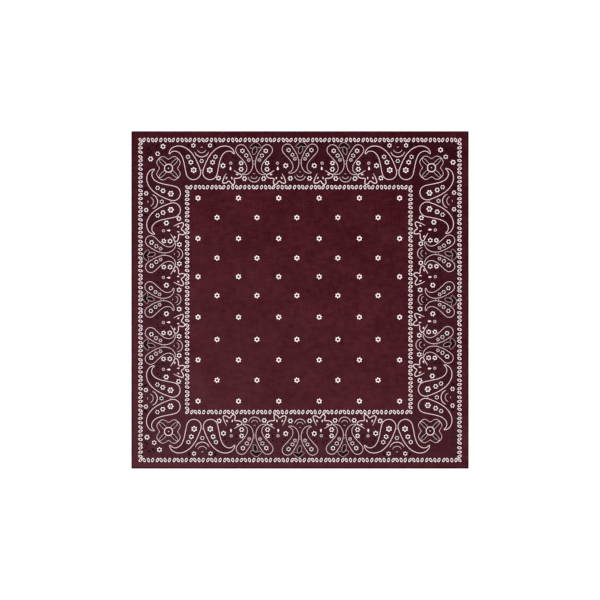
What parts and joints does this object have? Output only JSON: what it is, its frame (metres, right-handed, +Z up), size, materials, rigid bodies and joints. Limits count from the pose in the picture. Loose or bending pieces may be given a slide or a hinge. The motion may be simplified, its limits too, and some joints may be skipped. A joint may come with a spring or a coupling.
{
  "type": "silk scarf",
  "caption": "Square silk scarf laid out flat, with rolled edges and a traditional paisley border print around a field of small florets.",
  "frame": {"origin": "middle of the scarf, on the surface that it lies on", "axes": "+Z up out of the cloth, +X towards the right edge, +Y towards the back edge, which is the top edge when the scarf is looked at from above"},
  "size_m": [0.65, 0.65, 0.0024],
  "materials": {
    "burgundy_silk": "fine silk, softly mottled deep burgundy with a low sheen",
    "rolled_hem": "the same silk, rolled and slip stitched",
    "white_print": "white print on the silk, matt, with the weave showing through",
    "black_print": "black print on the silk, matt",
    "hem_thread": "burgundy silk sewing thread"
  },
  "bodies": {
    "root": {"silk_panel": "burgundy_silk", "hem_left": "rolled_hem", "hem_right": "rolled_hem", "hem_front": "rolled_hem", "hem_back": "rolled_hem"}
  },
  "joints": []
}
